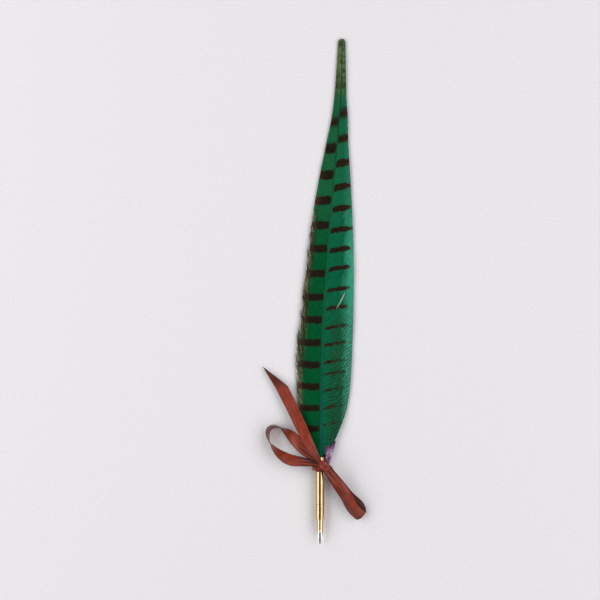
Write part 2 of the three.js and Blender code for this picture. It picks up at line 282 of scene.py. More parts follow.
GOLD_BRIGHT = srgb(208, 178, 134)
GOLD_WORN = srgb(192, 158, 112)
NIB_GOLD = srgb(222, 192, 148)
NIB_BARE = srgb(226, 216, 206)
# the darker metal along the nib's slit
SLIT_DARK = srgb(34, 26, 22)
DYE_DEEP = srgb(0, 44, 24)
DYE_BRIGHT = srgb(40, 132, 88)
TIP_OLIVES = srgb(56, 70, 44), srgb(92, 112, 76)
BAR_BROWN = srgb(22, 20, 15)
BAR_RUST = srgb(84, 48, 30)
BAR_FADED = srgb(62, 56, 36)
STRAND_BAR = srgb(58, 36, 26)
SHAFT_TEALS = srgb(0, 64, 58), srgb(8, 90, 78)
SHAFT_GREEN = srgb(0, 88, 54)
SHAFT_TIP = srgb(22, 38, 20)
# the ribbon's rust, darker and lighter; the lighter one stands for painted sheen
SATIN_RUST_AND_SHEEN = srgb(120, 40, 21), srgb(160, 62, 37)
SATIN_FLOAT = srgb(80, 28, 18)
SATIN_EDGE = srgb(78, 30, 22)
# the satin's back: its duller reverse, darkened further as painted shade
SATIN_BACK_AND_SHADE = srgb(56, 20, 13)
# painted shade, for creases and for places that other strands shade
SATIN_PAINTED_SHADE = srgb(46, 14, 10)
SATIN_RIB_PITCH = 0.34  # mm
SCRAWL_PITCH = 2.1  # mm between the fine dark lines on the right vane


def polished_metal(name, colour, worn, roughness):
    """Plating with faint drawing lines along it and cloudy, duller patches."""
    paint = Paint(name)
    smudge = paint.noise(paint.place(), 420.0, 4.0)
    drawn = paint.noise(paint.stretched(9000.0, 260.0, 9000.0), 1.0, 2.0)
    return paint.finish(
        Base_Color=paint.mix(paint.step(smudge, 0.35, 0.75), colour, worn),
        Metallic=1.0,
        Roughness=paint.step(smudge, 0.3, 0.8, roughness, roughness + 0.08),
        Normal=paint.bump(drawn, 0.12, 0.00002),
    )


def nib_metal():
    """Gold-plated shoulders round a bare, silvery middle, darker along the slit."""
    paint = Paint("nib_plating")
    smudge = paint.noise(paint.place(), 900.0)
    bare = paint.step(paint.plus(paint.value("bare"), paint.times(smudge, 0.12)), 0.5, 0.6)
    return paint.finish(
        Base_Color=paint.mix(paint.value("inked"), paint.mix(bare, NIB_GOLD, NIB_BARE), SLIT_DARK),
        Metallic=1.0,
        Roughness=paint.step(bare, 0.0, 1.0, 0.12, 0.32),
        Normal=paint.bump(smudge, 0.08, 0.00003),
    )


def dye(paint, share, fine, cloud, inner, outer, margin, far):
    """The green: inner by the shaft, outer on the flank, far on the half towards the tip,
    margin where the dye is worn off the rim, and olive at the tip itself."""
    broad = paint.noise(paint.stretched(160.0, 60.0, 100.0), 1.0, 3.0)
    flank = paint.plus(paint.plus(share, paint.times(broad, 0.4)), paint.times(fine, 0.35))
    colour = paint.mix(paint.step(flank, 0.95, 1.3), inner, outer)
    colour = paint.mix(paint.step(paint.value("along"), 0.45, 0.68, 0.0, 0.8), colour, far)
    rim = paint.plus(paint.value("worn"), paint.times(fine, 0.5))
    colour = paint.mix(paint.step(rim, 0.6, 1.25), colour, margin)
    colour = paint.mix(paint.step(fine, 0.25, 0.6, 0.45, 0.0), colour, DYE_DEEP)
    colour = paint.mix(paint.step(fine, 0.55, 0.8, 0.0, 0.4), colour, DYE_BRIGHT)
    olive = paint.mix(paint.step(cloud, 0.35, 0.65), *TIP_OLIVES)
    return paint.mix(paint.step(paint.value("along"), 0.84, 0.91), colour, olive)


def markings(paint, share, fine, cloud):
    """How far the bars and the fine scrawl darken the dye. The bars have ragged edges, which
    blur towards the tip."""
    streak = paint.value("streak")
    ragged = paint.maths("SUBTRACT", paint.times(fine, 2.6), 1.3)
    worn_bar = paint.times(paint.maths("SUBTRACT", cloud, 0.5), 2.2)
    depth = paint.plus(paint.plus(paint.value("bar"), ragged), worn_bar)
    wander = paint.noise(paint.stretched(110.0, 110.0, 110.0), 1.0, 2.0)
    run = paint.vector(paint.times(streak, 1.5), paint.times(share, 9.0))
    wisps = paint.noise(run, 1.0, 3.0, 0.65)
    phase = paint.plus(paint.times(streak, 2 * math.pi / SCRAWL_PITCH), paint.times(wander, 14.0))
    scrawl = paint.plus(paint.times(paint.maths("SINE", phase), 0.15), wisps)
    scrawl = paint.step(paint.plus(scrawl, paint.value("mottle")), 0.93, 1.15, 0.0, 0.72)
    blur = paint.step(paint.value("along"), 0.68, 0.9, 0.35, 4.2)
    bars = paint.step(depth, paint.times(blur, -1.0), blur)
    return paint.maths("MAXIMUM", bars, scrawl)


def dyed_vane(name, inner, outer, margin, far):
    """Dyed barbs with dark bars. Of the mesh's values, bar is the depth in mm inside a bar,
    streak a height that follows the fine streaks, share the way out to the margin, barb the
    barb's number, mottle the amount of scrawl, rust how brown the bars are and worn how much
    of the dye is lost."""
    paint = Paint(name)
    share = paint.value("share")
    barb = paint.value("barb")
    fine = paint.noise(paint.vector(paint.times(barb, 0.9), paint.times(share, 4.0)), 1.0, 3.0, 0.7)
    cloud = paint.noise(paint.stretched(420.0, 420.0, 420.0), 1.0, 4.0)
    green = dye(paint, share, fine, cloud, inner, outer, margin, far)
    dark = paint.mix(paint.value("rust"), BAR_BROWN, BAR_RUST)
    dark = paint.mix(paint.step(fine, 0.5, 0.8, 0.0, 0.5), dark, BAR_FADED)
    rows = paint.noise(paint.vector(paint.times(barb, 2.2), paint.times(share, 60.0)), 1.0, 2.0)
    return paint.finish(
        Base_Color=paint.mix(markings(paint, share, fine, cloud), green, dark),
        Roughness=paint.step(fine, 0.2, 0.8, 0.5, 0.65),
        Specular_IOR_Level=0.03,
        Normal=paint.bump(rows, 0.25, 0.00008),
    )


def barb_strands(name, root, tip):
    """Loose barbs: share runs from the root colour to the tip colour."""
    paint = Paint(name)
    tint = paint.noise(paint.place(), 700.0, 2.0)
    shift = paint.plus(paint.value("share"), paint.times(tint, 0.7))
    return paint.finish(
        Base_Color=paint.mix(paint.step(paint.value("bar"), -0.5, 0.5, 0.0, 0.75),
                             paint.mix(paint.step(shift, 0.45, 1.25), root, tip),
                             STRAND_BAR),
        Roughness=0.62,
        Specular_IOR_Level=0.1,
        Normal=paint.bump(paint.noise(paint.place(), 6000.0), 0.3, 0.00005),
    )


def quill_horn():
    """Dyed keratin: teal low on the shaft, greener and darker towards the tip."""
    paint = Paint("dyed_quill")
    along = paint.value("along")
    fibre = paint.noise(paint.stretched(3800.0, 60.0, 3800.0), 1.0, 3.0)
    low = paint.mix(fibre, *SHAFT_TEALS)
    colour = paint.mix(paint.step(along, 0.12, 0.4), low, SHAFT_GREEN)
    colour = paint.mix(paint.step(along, 0.5, 0.9), colour, SHAFT_TIP)
    return paint.finish(
        Base_Color=colour,
        Roughness=paint.step(fibre, 0.3, 0.7, 0.4, 0.55),
        Specular_IOR_Level=0.1,
        Normal=paint.bump(fibre, 0.25, 0.00006),
    )


def satin():
    """Rust-brown satin: floats along the ribbon, a fine rib across it, dense edges and broad
    lengthwise bands of painted sheen. Its back is painted darker, partly as the satin's duller
    reverse and partly as painted shade, and its creases and shaded places get painted shade."""
    paint = Paint("satin_ribbon")
    length = paint.value("length")
    width = paint.value("width")
    rib = paint.maths("SINE", paint.times(length, 2 * math.pi / SATIN_RIB_PITCH))
    floats = paint.noise(paint.vector(paint.times(length, 0.5), paint.times(width, 34.0)), 1.0, 2.0)
    lights = paint.noise(paint.vector(paint.times(length, 0.14), paint.times(width, 2.4)), 1.0, 2.0)
    selvedge = paint.step(paint.maths("ABSOLUTE", width), 0.86, 0.95)
    # the broad lengthwise bands between the two rusts are painted sheen
    base = paint.mix(paint.step(lights, 0.3, 0.7), *SATIN_RUST_AND_SHEEN)
    base = paint.mix(paint.step(floats, 0.3, 0.75, 0.0, 0.4), base, SATIN_FLOAT)
    base = paint.mix(paint.times(selvedge, 0.5), base, SATIN_EDGE)
    # the back is painted darker: partly the reverse's own duller colour, partly painted shade on
    # the inner faces
    base = paint.mix(paint.times(paint.value("reverse"), 0.8), base, SATIN_BACK_AND_SHADE)
    # painted shade in creases and under other strands
    base = paint.mix(paint.value("hollow"), base, SATIN_PAINTED_SHADE)
    height = paint.plus(paint.plus(paint.times(rib, 0.35), floats), paint.times(selvedge, 1.4))
    return paint.finish(
        Base_Color=base,
        Roughness=paint.step(floats, 0.2, 0.8, 0.34, 0.46),
        Specular_IOR_Level=0.38,
        Anisotropic=0.5,
        Normal=paint.bump(height, 0.35, 0.00006),
    )


def waxy(name, colour, other, roughness):
    """A moulded or melted surface with a cloudy colour."""
    paint = Paint(name)
    cloud = paint.noise(paint.place(), 900.0, 4.0)
    return paint.finish(
        Base_Color=paint.mix(paint.step(cloud, 0.3, 0.7), colour, other),
        Roughness=paint.step(cloud, 0.3, 0.7, roughness, roughness + 0.15),
        Normal=paint.bump(cloud, 0.3, 0.0001),
    )


GOLD = polished_metal("gold_plating", GOLD_BRIGHT, GOLD_WORN, 0.04)
SATIN = satin()

# ---- Camera, light and floor ---------------------------------------------------------------

VIEW_CENTRE = in_frame((-12.0, 94.2, 3.0))
VIEW_WIDTH = 0.36
CAMERA_HEIGHT = 1.1
LEFT_SOFTBOX = {"place": (-0.92, 0.1, 0.7), "size": (2.4, 0.8), "power": 16.0,
                "colour": (1.0, 0.985, 0.97)}
RIGHT_SOFTBOX = {"place": (0.82, -0.05, 0.81), "size": (2.4, 0.95), "power": 14.6,
                 "colour": (1.0, 0.985, 0.98)}
SKY_COLOUR = (0.98, 0.97, 0.97, 1)
SKY_RISE = {"From Min": 0.1, "From Max": 0.5, "To Min": 0.03, "To Max": 0.14}
FLOOR_REACH = 3.0
FLOOR_DROP = 0.0002  # keeps the floor clear of what lies on it
FLOOR_GREYS = srgb(228, 227, 231), srgb(235, 234, 238)


def area_light(name, place, size, power, colour):
    """A rectangular softbox that faces the middle of the view."""
    lamp = bpy.data.lights.new(name, "AREA")
    lamp.shape = "RECTANGLE"
    lamp.size, lamp.size_y = size
    lamp.energy = power
    lamp.color = colour
    item = bpy.data.objects.new(name, lamp)
    item.location = place
    aim = Vector(VIEW_CENTRE) - Vector(place)
    item.rotation_euler = aim.to_track_quat("-Z", "Y").to_euler()
    bpy.context.scene.collection.objects.link(item)


def camera():
    """Looks straight down, with VIEW_WIDTH filling the frame."""
    scene = bpy.context.scene
    eye = bpy.data.cameras.new("camera")
    eye.sensor_width = 36
    eye.lens = eye.sensor_width * CAMERA_HEIGHT / VIEW_WIDTH
    eye.clip_start = 0.01
    item = bpy.data.objects.new("camera", eye)
    item.location = (VIEW_CENTRE[0], VIEW_CENTRE[1], VIEW_CENTRE[2] + CAMERA_HEIGHT)
    scene.collection.objects.link(item)
    scene.camera = item


def sky():
    """Dim at the horizon and brighter above, so that the metal has something to reflect."""
    scene = bpy.context.scene
    world = bpy.data.worlds.new("studio")
    world.use_nodes = True
    tree = world.node_tree
    background = tree.nodes["Background"]
    background.inputs["Color"].default_value = SKY_COLOUR
    height = tree.nodes.new("ShaderNodeSeparateXYZ")
    dimmer = tree.nodes.new("ShaderNodeMapRange")
    for key, value in SKY_RISE.items():
        dimmer.inputs[key].default_value = value
    directions = tree.nodes.new("ShaderNodeTexCoord").outputs["Generated"]
    tree.links.new(directions, height.inputs[0])
    tree.links.new(height.outputs["Z"], dimmer.inputs["Value"])
    tree.links.new(dimmer.outputs[0], background.inputs["Strength"])
    scene.world = world
    scene.view_settings.view_transform = "Standard"


def floor():
    """Plain pale paper."""
    mesh = bpy.data.meshes.new("floor")
    side = FLOOR_REACH
    corners = [(-side, -side, 0), (side, -side, 0), (side, side, 0), (-side, side, 0)]
    mesh.from_pydata(corners, [], [(0, 1, 2, 3)])
    item = bpy.data.objects.new("floor", mesh)
    item.location.z = -FLOOR_DROP
    paint = Paint("pale_paper")
    grain = paint.noise(paint.place(), 900.0)
    colour = paint.mix(paint.step(grain, 0.3, 0.7), *FLOOR_GREYS)
    mesh.materials.append(paint.finish(Base_Color=colour, Roughness=0.8))
    bpy.context.scene.collection.objects.link(item)


camera()
sky()
area_light("left_softbox", **LEFT_SOFTBOX)
area_light("right_softbox", **RIGHT_SOFTBOX)
floor()

# ---- Ribbon --------------------------------------------------------------------------------

RIBBON_WIDTH = 7.0
RIBBON_THICKNESS = 0.3
ACROSS = np.linspace(-1, 1, 17)  # the columns of a ribbon's mesh, from edge to edge
GATHER = 0.42  # the share of its width that a strand keeps where it goes into the knot
SLACK = 1.9  # how far the turn round the barrel stands off on its left
TURN_HALF_WIDTH = 2.9
TURN_Y = -5.7
TABLE_GAP = 0.06  # between the turn's underside and the table
KNOT_HALF = (4.0, 2.4, 1.8)  # along it, across it and in height
KNOT_CENTRE = (2.6, -5.0, 8.4)
KNOT_TURN = math.radians(-43)
LEFT_LOOP = [
    (-1.9, -3.8, 8.0), (-5.6, -3.1, 7.1), (-11, -2.5, 5.7), (-18, -1.4, 4.6), (-24, 1.9, 4.1),
    (-28.7, 6.5, 3.9), (-31.4, 11.8, 3.9), (-31.2, 16.3, 3.9), (-28.4, 18.5, 3.9),
    (-24.4, 18.0, 4.0), (-19.6, 15.0, 3.9), (-15.4, 10.8, 4.2), (-10.6, 5.6, 4.9),
    (-5.6, 1.2, 5.5), (-1.8, -1.8, 6.7),
]
RIGHT_LOOP = [
    (4.9, -7.8, 8.3), (6.9, -10.6, 7.9), (9.8, -14.6, 7.2), (12.8, -18.9, 6.6),
    (16.2, -24.0, 6.2), (19.0, -29.6, 5.7), (22.5, -33.4, 4.6), (24.4, -34.9, 3.1),
    (24.4, -33.8, 1.7), (23.0, -29.6, 1.4), (16.8, -23.8, 1.6), (12.0, -17.6, 2.3),
    (9.0, -12.4, 3.8), (6.8, -8.2, 5.6),
]
LEFT_TAIL = [
    (-0.3, -2.2, 9.3), (-2.6, 1.6, 8.6), (-6.8, 9.0, 7.4), (-12.0, 19.8, 5.6),
    (-18.2, 32.6, 3.6), (-23.6, 43.0, 2.4), (-28.8, 51.6, 1.7),
]
RIGHT_TAIL = [
    (4.0, -4.4, 0.3), (3.8, 2.0, 0.3), (3.8, 10.0, 0.3), (5.6, 22.0, 0.3), (8.2, 34.0, 0.3),
    (9.4, 41.0, 0.3),
]


def ribbon(name, route, across, gathered, node, far_end, flip=1, nose=0.0, wave=0.4,
           begins=0.0, ends=lambda span: 1.0 + 0 * span, shade=lambda t, span: 0.0):
    """A stretch of ribbon. across(t, along) is the direction of its width, gathered(t) the
    share of its width there. It runs from share begins of the line to ends(span), nose
    rounds the fold half way along and wave is how deep it cups, both in mm. flip turns its
    dull side over. The valleys of the pleats by the knot get painted shade, and shade(t, span)
    is more painted shade: how far the satin is painted darker where it is creased or shaded."""
    looped = far_end == "object"
    steps = 180 if looped else 120
    span = ACROSS
    line = spline(route, 400)
    along = tangents(line)
    reach = np.linspace(0, 1, len(line))
    width = across(reach[:, None], along)
    width -= along * np.sum(width * along, axis=1, keepdims=True)
    width /= np.linalg.norm(width, axis=1, keepdims=True)
    face = np.cross(width, along)
    length = np.linalg.norm(np.diff(line, axis=0), axis=1).sum()

    t = begins + np.linspace(0, 1, steps)[:, None] * (ends(span)[None] - begins)
    inside = np.clip(t, 0, 1)

    def read(table):
        return np.stack([np.interp(inside, reach, table[:, k]) for k in range(3)], -1)

    at = read(line) + read(along) * ((t - inside) * length)[..., None]
    near_knot = 1 - ease(0.0, 0.2, np.minimum(t, 1 - t) if looped else t)
    pleat = np.cos(span * 7.5 + 0.6)
    # painted shade in the valleys of the pleats by the knot, and the strand's own painted shade
    hollow = np.maximum(0.85 * near_knot * (0.5 - 0.5 * flip * pleat) ** 2, shade(t, span))
    pleat = (wave + 0.02) * near_knot * pleat
    cup = wave * (np.sin(t * 9.0) * (span**2 - 0.4) + 0.3 * np.sin(t * 23 + span * 2.5))
    at += read(width) * (RIBBON_WIDTH / 2 * gathered(inside) * span)[..., None]
    at += read(face) * (pleat + cup)[..., None]
    bulge = nose * (1 - span**2) * np.exp(-(((t - 0.5) / 0.09) ** 2))
    outward = line[len(line) // 2] - line[0]
    at += outward / np.linalg.norm(outward) * bulge[..., None]
    thick = read(face) * RIBBON_THICKNESS / 2 * flip
    sheets = Sheets()
    sheets.add(at + thick, at - thick, length=t * length, width=span[None], hollow=hollow)
    item = sheets.make(name, SATIN)
    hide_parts(node)
    path = in_frame(spline(route, 40))


def leaning(*pairs):
    """The ribbon's width leans from flat (0 degrees) to upright (90) as the pairs say."""
    lean = profile(*pairs)

    def across(t, along):
        angle = np.radians(lean(t))
        side = np.stack([along[:, 1], -along[:, 0], 0 * along[:, 0]], -1)
        side /= np.linalg.norm(side, axis=1, keepdims=True)
        return side * np.cos(angle) + np.array([0, 0, 1.0]) * np.sin(angle)

    return across


def turning(*pairs):
    """The ribbon's width stays level and points this many degrees from +X."""
    turn = profile(*pairs)

    def across(t, along):
        angle = np.radians(turn(t[:, 0]))
        return np.stack([np.cos(angle), np.sin(angle), 0 * angle], -1)

    return across


def bow():
    """The four free strands, each with its lean or turn, its width and the painted shade
    of its creases and shaded places.
    """
    ribbon("bow_loop_left", LEFT_LOOP,
           leaning((0, 180), (0.1, 158), (0.22, 152), (0.32, 122), (0.42, 88), (0.5, 68),
                   (0.56, 74), (0.62, 92), (0.68, 126), (0.76, 156), (0.88, 172), (1, 180)),
           profile((0, GATHER), (0.065, 0.68), (0.17, 0.97), (0.25, 1), (0.5, 1), (0.86, 1),
                   (1, GATHER)),
           "ribbon_loop_left", "object", flip=-1, begins=-0.03,
           # painted shade: the inner edge by the knot, under the upper strands, and the lower edge
           # of the return
           shade=lambda t, span: (0.9 * ease(0.2, 0.05, t) * ease(0.35, -0.25, span)
                                  + 0.6 * ease(0.8, 0.97, t) * ease(-0.2, -0.8, span)))
    ribbon("bow_loop_right", RIGHT_LOOP,
           turning((0, 36), (0.35, 34), (0.48, 41), (0.56, 43), (0.7, 38), (1, 34)),
           profile((0, 0.8), (0.16, 1), (0.5, 1), (0.84, 1), (1, GATHER)),
           "ribbon_loop_right", "object", flip=-1, nose=1.5, begins=-0.04,
           ends=lambda span: 1.04 + 0 * span,
           # painted shade over the lower-left half of the loop
           shade=lambda t, span: 0.5 * ease(0.06, 0.2, t) * ease(0.6, -0.5, span))
    ribbon("bow_tail_left", LEFT_TAIL, leaning((0, 0), (1, 0)),
           profile((0, GATHER), (0.24, 0.86), (0.5, 1), (1, 1)),
           "ribbon_tail_left", "bare", begins=-0.035, ends=lambda span: 0.941 - 0.146 * span,
           # painted shade at the tail's end, where it curls away from the light
           shade=lambda t, span: 0.65 * ease(0.78, 0.9, t + 0.04 * span))
    ribbon("bow_tail_right", RIGHT_TAIL, leaning((0, 0), (1, 0)),
           profile((0, GATHER), (0.2, 0.95), (1, 1)),
           "ribbon_tail_right", "bare", wave=0.08)


def knot():
    """The gathered band over the crossing, with a few deep creases along it, painted darker as
    shade where they sink in.
    """
    rows, columns = 70, 120
    t = np.linspace(-1, 1, rows + 2)[1:-1, None]  # the two pointed ends are left off
    angle = np.linspace(0, 2 * math.pi, columns, endpoint=False)[None]
    swell = np.sqrt(np.maximum(0, 1 - np.abs(t) ** 3.2))
    crease = np.exp(-((np.sin(2 * angle + 1.1 * t + 0.5) / 0.17) ** 2))
    pleats = 1 + 0.05 * np.sin(5 * angle + 2 * t) + 0.03 * np.sin(t * 9 - 2 * angle) - 0.2 * crease
    long = KNOT_HALF[0] * t + 0 * angle
    wide = KNOT_HALF[1] * swell * pleats * np.cos(angle)
    high = KNOT_HALF[2] * swell * pleats * np.sin(angle)
    x = long * math.cos(KNOT_TURN) - wide * math.sin(KNOT_TURN) + KNOT_CENTRE[0]
    y = long * math.sin(KNOT_TURN) + wide * math.cos(KNOT_TURN) + KNOT_CENTRE[1]
    grid = np.stack([x, y, high + KNOT_CENTRE[2]], -1)
    values = {
        "length": angle * 2.0 + 0 * t,
        "width": t * 0.8 + 0 * angle,
        "reverse": np.zeros(rows * columns),
        # painted shade along the creases
        "hollow": 0.85 * crease,
    }
    faces = tube_faces(rows, columns)
    item = piece("bow_knot", grid.reshape(-1, 3), faces, SATIN, ROOT, values)
    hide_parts("ribbon_knot")


def ribbon_turn():
    """The turn round the barrel under the knot: slack on the left, creased along its edge.
    Where it is slack, its side towards the feather gets painted shadow from the strand over it.
    """
    rows, columns = 144, 15
    angle = np.linspace(0, 2 * math.pi, rows, endpoint=False)[:, None]
    span = np.linspace(-1, 1, columns)[None]
    slack = SLACK * np.exp(-(((angle - 2.75) / 0.5) ** 2))
    crease = 0.1 * np.sin(span * 6 + 2 * angle) + 0.1
    half = TURN_HALF_WIDTH - 0.5 * slack
    y = TURN_Y + span * half - 0.35 * np.sin(angle) + 0.15 * slack
    y += 1.5 * np.exp(-(((angle - 2.2) / 0.55) ** 2)) * (span + 1) / 2
    layers = []
    for gap, creased in ((0.36, 1), (0.1, 0)):  # the outer side, then the inner
        radius = BARREL_RADIUS + gap + crease * creased + slack
        lowest = TABLE_GAP - AXIS_HEIGHT + gap * 0.1
        z = AXIS_HEIGHT + np.maximum(radius * np.sin(angle), lowest)
        layers.append(np.stack([radius * np.cos(angle) + 0 * span, y, z + 0 * span], -1))
    closed = [np.concatenate([layer, layer[:1]]) for layer in layers]
    sheets = Sheets()
    # painted shadow of the left loop's lower strand on the slack
    hollow = np.concatenate([slack, slack[:1]]) / SLACK * ease(-0.45, -0.1, span) * 0.9
    sheets.add(*closed, length=np.linspace(0, 20, rows + 1)[:, None], width=span, hollow=hollow)
    item = sheets.make("bow_turn", SATIN)
    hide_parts("ribbon_wrap")


bow()
knot()
ribbon_turn()

# ---- Feather -------------------------------------------------------------------------------

QUILL_INSERTED = 18.0
SHAFT_END = FEATHER_LENGTH - 1.4
VANE_START = 1.0
VANE_LIFT = 0.05  # of the vane's surface above the middle of the shaft
VANE_THICKNESS = 0.16
MARGIN_HEIGHT = 0.95
TIP_ROUNDING = 3.0
SHAFT_FLANK = 0.68  # how far out a barb leaves the shaft, in the shaft's radii
BARB_PITCH = 0.6
MARGIN_BARBS = 520
TUFT_BARBS = 230
DOWN_OVER_VANE = 260
BARREL_CLEAR = 3.45  # how far from the axis the down stays beside the barrel
RIGHT_TUFT_END = -5.6
LEFT_TUFT_END = 0.6  # short, because the bow covers it
FLECK_RADIUS = 0.26
NOWHERE = -99.0  # a bar that nothing crosses
LEFT_BARS = (17.4, 29.7, 42.7, 55.8, 69.0, 82.8, 96.3, 110.4, 125.4, 139.5, 154.3, 169.6, 185.7,
             201.4, 223.5)
RIGHT_BARS = (18.6, 28.6, 39.0, 48.8, 55.8, 66.4, 76.4, 88.2, 99.0, 111.6, 123.0, 135.0, 147.8,
              160.8, 175.3, 190.3, 205.6, 222.5)
TIP_FADE = 6.0  # how much the last, washed-out bar loses of its depth
SPLIT = 110.8  # where the barbs beside the right vane's open split end

shaft_x = profile((-QUILL_INSERTED, 0), (-2, 0), (6, 0.5), (34, 0.75), (69, 1.5), (97, 3.0),
                  (124, 4.9), (150, 6.9), (175, 9.1), (201, 11.4), (217, 12.5), (238, 13.2),
                  (FEATHER_LENGTH, 13.2))
shaft_z = profile((-QUILL_INSERTED, AXIS_HEIGHT), (0, AXIS_HEIGHT), (60, 3.7), (120, 3.9),
                  (190, 2.7), (FEATHER_LENGTH, 0.9))
shaft_radius = profile((-QUILL_INSERTED, 1.15), (-QUILL_INSERTED + 5, 1.5), (-1, 1.5), (5, 1.05),
                       (20, 0.9), (60, 0.8), (150, 0.56), (220, 0.34), (SHAFT_END, 0.2))
left_width = profile((VANE_START, 2.0), (7, 4.3), (15, 8.8), (30, 13.6), (58, 16.2), (87, 14.3),
                     (130, 12.1), (160, 9.7), (188, 6.6), (203, 4.7), (218, 3.8), (238, 3.0),
                     (FEATHER_LENGTH, 2.3))
right_width = profile((VANE_START, 2.0), (7, 4.6), (12, 8.7), (22, 13.3), (30, 15.7), (44, 17.5),
                      (72, 18.2), (101, 17.2), (130, 14.9), (159, 11.2), (188, 6.9), (203, 5.2),
                      (217, 3.5), (238, 2.3), (FEATHER_LENGTH, 2.1))


def rachis():
    """The shaft: round quill in the barrel, then a tapering rod with flattened flanks."""
    rows, columns = 160, 20
    y = np.linspace(-QUILL_INSERTED, SHAFT_END, rows)[:, None]
    angle = np.linspace(0, 2 * math.pi, columns, endpoint=False)[None]
    radius = shaft_radius(y)
    square = 1 - 0.08 * ease(2, 20, y) * np.cos(4 * angle)
    square = square - 0.2 * ease(2, 20, y) * np.exp(-((angle - 1.5 * math.pi) / 0.3) ** 2)
    grid = np.stack([shaft_x(y) + radius * square * np.cos(angle), y + 0 * angle,
                     shaft_z(y) + radius * square * np.sin(angle)], -1)
    values = {"along": y / FEATHER_LENGTH + 0 * angle}
    faces = tube_faces(rows, columns)
    item = piece("quill_shaft", grid.reshape(-1, 3), faces, quill_horn(), ROOT, values)
    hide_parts("feather_shaft")


def vane_height(y, share):
    """The vane's surface: it falls from the shaft to the margin, share of the way out."""
    crown = shaft_z(y) + VANE_LIFT
    return crown + (np.minimum(MARGIN_HEIGHT, crown) - crown) * share**2


class Vane:
    """One side of the feather. A barb leaves the shaft, runs out and curves towards the tip."""

    def __init__(self, side, width, lean, bend):
        self.side = side
        self.width = width
        self.lean = lean  # how far a barb runs towards the tip for each mm that it runs out
        self.bend = bend  # how late on its way out it does so

    def margin(self, end):
        """The vane's width at the height where a barb ends, rounded off at the tip."""
        left = np.clip((FEATHER_LENGTH - end) / TIP_ROUNDING, 0, 1)
        return self.width(end) * (np.sqrt(1 - (1 - left) ** 2) * 0.85 + 0.15)

    def first_end(self):
        """Where the lowest barb ends, the one that leaves the shaft at the vane's start."""
        ends = np.linspace(5, 60, 400)
        return ends[np.argmin(np.abs(ends - self.lean * self.margin(ends) - VANE_START))]

    def at(self, end, share, lift=0.0):
        """Points on the vane: end is where the barb meets the margin, share the way out."""
        margin = self.margin(end)
        y = end - self.lean * margin * (1 - share**self.bend)
        radius = shaft_radius(np.minimum(y, SHAFT_END))
        flank = SHAFT_FLANK * radius
        out = flank + (margin - flank) * share
        z = vane_height(y, share) + lift + 0.62 * radius * np.exp(-share / 0.1)
        return np.stack([shaft_x(y) + self.side * out, y, z], -1)

    def spot(self, y, share):
        """Points on the vane at heights y, share of the way out."""
        x = shaft_x(y) + self.side * self.width(y) * share
        return np.stack([x, y, vane_height(y, share)], -1)


def bar_depth(places, centres, half, level):
    """How many mm inside a dark bar each point is, below 0 between bars. level is the height
    that a point has along the shaft once the bars' slant is taken off."""
    gap = np.abs(level[..., None] - np.array(centres)).min(-1)
    return half(places[..., 1]) - gap


def vane_sheet(vane, name, node, material, bars, half, rise, fade, splits, reach, looks):
    """The vane as clumps of barbs: each barb is a ridge, and clumps part towards the margin.
    rise(mm out) is how much higher a bar lies there, fade(places, share) how much thinner it
    is, splits the ends of the barbs beside an open split, reach(end) how far out barbs go and
    looks(places, share) the mottle, rust and worn shares of each point."""
    sheets = Sheets()
    share = np.linspace(0, 1, 20)[:, None] ** 0.8
    end = vane.first_end()
    barb = 0
    while end < FEATHER_LENGTH - 0.02:
        count = int(random.integers(3, 9))
        full_stop = end + count * BARB_PITCH
        inside = [split for split in splits if end + 0.5 < split < full_stop]
        stop = min([full_stop, FEATHER_LENGTH] + inside)
        columns = 2 * count + 1
        q = np.linspace(0, 1, columns)[None]
        middle = (end + stop) / 2
        pinch = random.uniform(0.02, 0.1) + 0.4 * random.random() * (1 - reach(middle))
        narrowed = 0.5 + (q - 0.5) * (1.03 - pinch * ease(0.75, 1.0, share))
        ends = end + narrowed * (stop - end)
        for split in splits:
            window = ease(0.36, 0.5, share) * ease(0.76, 0.66, share)
            push = 0.9 * np.sign(middle - split) * window
            ends = ends + push * np.exp(-abs(ends - split) / 1.5)
        odd = (np.arange(columns) % 2)[None]
        full = share * (1 - 0.1 * (1 - reach(middle)) * random.random()
                        - odd * random.uniform(0.0, 0.02, columns)[None])
        lift = 0.08 * odd + 0.12 * (q - 0.5) + 0.05 * random.normal() * share
        lift = lift + 0.1 * np.sin(middle * 0.21 + share * 3.0) * share
        upper = vane.at(ends, full, lift)
        lower = upper - np.array([0, 0, VANE_THICKNESS])
        out = np.abs(upper[..., 0] - shaft_x(upper[..., 1]))
        depth = bar_depth(upper, bars, half, upper[..., 1] - rise(out))
        sheets.add(
            upper, lower, share=full, along=upper[..., 1] / FEATHER_LENGTH,
            barb=barb + narrowed * count,
            bar=depth * ease(0.0, 0.14, share + 0.02) - fade(upper, full),
            streak=upper[..., 1] - 0.2 * out - 0.02 * out**2,
            **looks(upper, full),
        )
        barb += count
        end = stop
    item = sheets.make(name, material)
    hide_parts(node)


